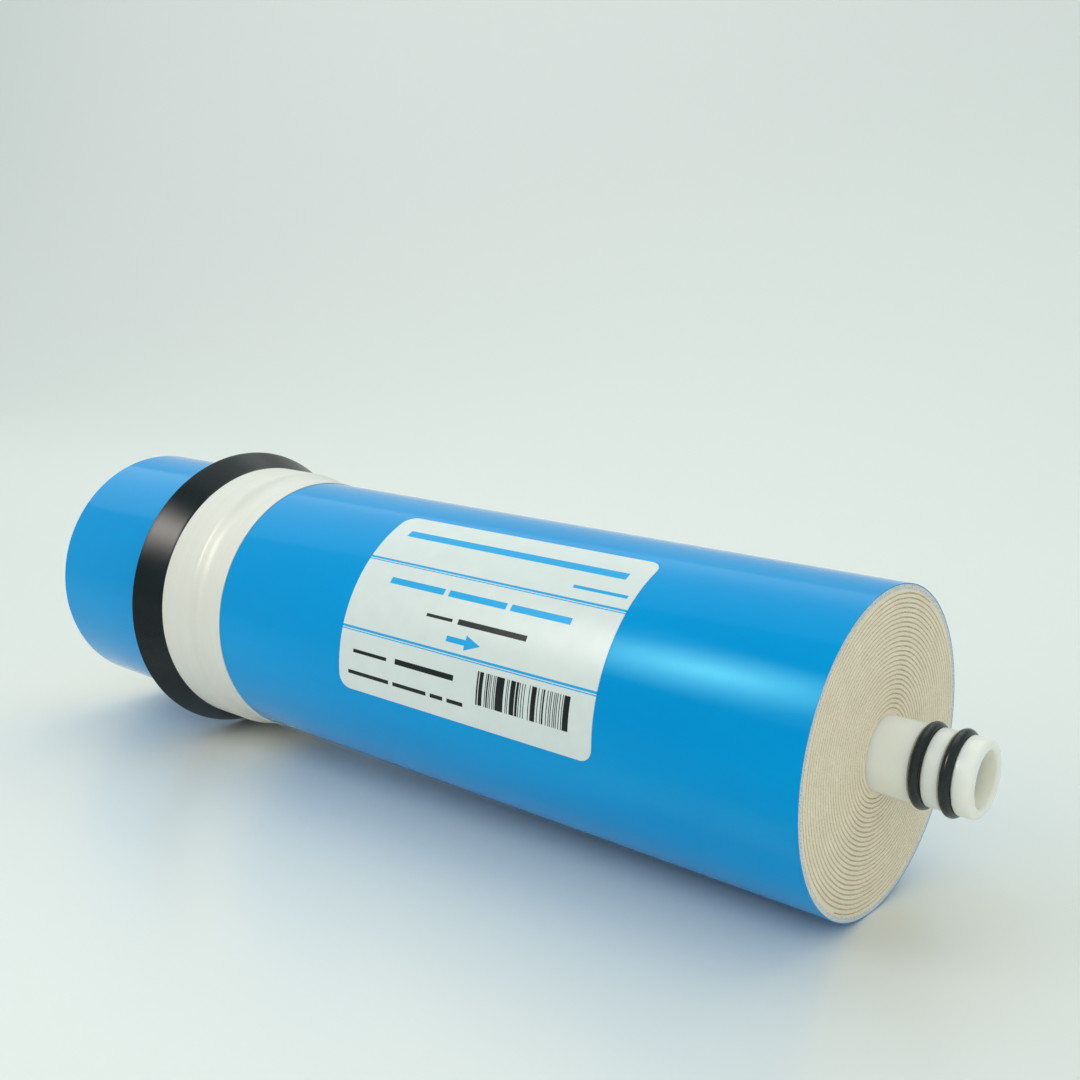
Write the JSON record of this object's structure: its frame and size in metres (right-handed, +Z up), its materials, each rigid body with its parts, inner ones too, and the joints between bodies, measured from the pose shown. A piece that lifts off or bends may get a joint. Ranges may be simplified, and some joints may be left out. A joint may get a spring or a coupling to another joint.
{
  "type": "reverse osmosis membrane element",
  "caption": "Spiral-wound membrane roll in a blue film, with a permeate tube that carries two O-rings, a flared rubber brine seal under white tape and a plain label.",
  "frame": {"origin": "on the element's axis, inside the permeate tube's bore, in the plane of the roll's product-end face", "axes": "+X along the axis out of the tube's open end, +Z up with the element lying on its side"},
  "size_m": [0.298, 0.0858, 0.0858],
  "materials": {
    "tube_plastic": "milky moulded plastic, softly glossy",
    "o_ring_rubber": "greased black rubber, glossy",
    "membrane_leaves": "matte cut edges of wound sheets",
    "blue_film": "glossy stretched film",
    "seal_rubber": "satin black rubber",
    "white_tape": "satin white tape",
    "label_paper": "white sticker with blue rules"
  },
  "bodies": {
    "root": {"permeate_tube": "tube_plastic", "o_ring_inner": "o_ring_rubber", "o_ring_outer": "o_ring_rubber", "leaf_roll": "membrane_leaves", "outer_wrap": "blue_film", "brine_seal": "seal_rubber", "seal_tape": "white_tape", "label": "label_paper"}
  },
  "joints": []
}
